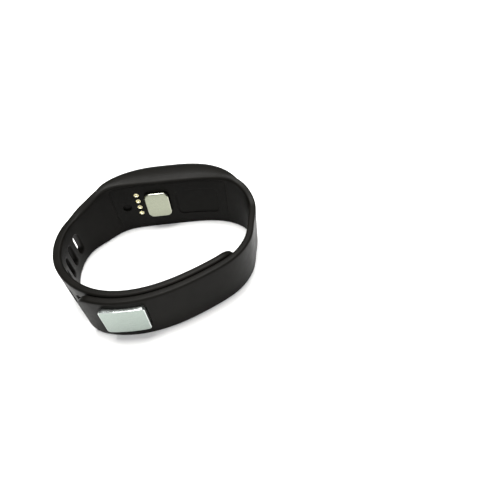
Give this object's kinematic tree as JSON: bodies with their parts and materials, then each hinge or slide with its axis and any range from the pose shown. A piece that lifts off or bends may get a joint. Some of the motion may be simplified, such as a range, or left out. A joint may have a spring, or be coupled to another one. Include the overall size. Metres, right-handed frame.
{
  "type": "fitness tracker band",
  "caption": "Black silicone fitness tracker wristband with a swollen display capsule, a metal skin pad, gold charging contacts and a metal peg clasp, shown closed.",
  "frame": {"origin": "under the middle of the closed band, on the surface it stands on", "axes": "+Z along the wrist, +Y out through the display, -Y out through the clasp plate"},
  "size_m": [0.0628, 0.06, 0.0204],
  "materials": {
    "silicone": "matte moulded silicone",
    "hard_black": "satin black plastic",
    "lens": "dark gloss window",
    "screen": "unlit display glass",
    "clasp_steel": "finely brushed",
    "electrode_steel": "finely brushed with a polished rim",
    "motor_steel": "drawn steel",
    "gold": "gold plate",
    "gasket": "soft seal",
    "magnet": "nickel plate",
    "board": "solder mask",
    "chip": "moulded chip",
    "crystal_can": "pressed can",
    "ceramic_white": "fired ceramic",
    "foam": "closed cell foam",
    "battery_foil": "pouch foil",
    "red_lead": "wire insulation",
    "black_lead": "wire insulation",
    "flex": "amber film"
  },
  "bodies": {
    "tracker": {"band_sleeve": "silicone", "hole_strap": "silicone", "clasp_strap": "silicone", "back_cover": "hard_black", "front_shell": "hard_black", "cover_gasket": "gasket", "display_lens": "lens", "electrode_pad": "electrode_steel", "electrode_spring_pin": "gold", "charge_contact_1": "gold", "charge_contact_2": "gold", "charge_contact_3": "gold", "charge_contact_4": "gold", "locating_magnet": "magnet", "circuit_board": "board", "processor": "chip", "memory_chip": "chip", "motion_sensor": "chip", "charge_chip": "chip", "clock_crystal": "crystal_can", "radio_antenna": "ceramic_white", "battery_pad": "foam", "battery": "battery_foil", "battery_board": "board", "battery_lead_red": "red_lead", "battery_lead_black": "black_lead", "oled_panel": "screen", "display_frame": "hard_black", "display_flex": "flex", "motor_can": "motor_steel"},
    "strap_tail": {"hole_strap_tail": "silicone"},
    "clasp_tab": {"clasp_strap_tab": "silicone", "clasp_plate": "clasp_steel", "clasp_peg_1": "clasp_steel", "clasp_peg_2": "clasp_steel"},
    "motor_rotor": {"motor_shaft": "motor_steel", "motor_weight": "motor_steel"}
  },
  "joints": [
    {"name": "clasp_tab_flex", "type": "hinge", "parent": "tracker", "child": "clasp_tab", "pos_m": [0.0102, -0.02431, 0.0078], "axis": [0, 0, 1], "range_deg": [0, 60], "stiffness_Nm_per_rad": 0.01},
    {"name": "strap_tail_flex", "type": "hinge", "parent": "tracker", "child": "strap_tail", "pos_m": [-0.00181, -0.02347, 0.0078], "axis": [0, 0, 1], "range_deg": [0, 35], "stiffness_Nm_per_rad": 0.01},
    {"name": "motor_spin", "type": "hinge", "parent": "tracker", "child": "motor_rotor", "pos_m": [0.01614, 0.02242, 0.0112], "axis": [0, 0, 1], "continuous": true}
  ]
}
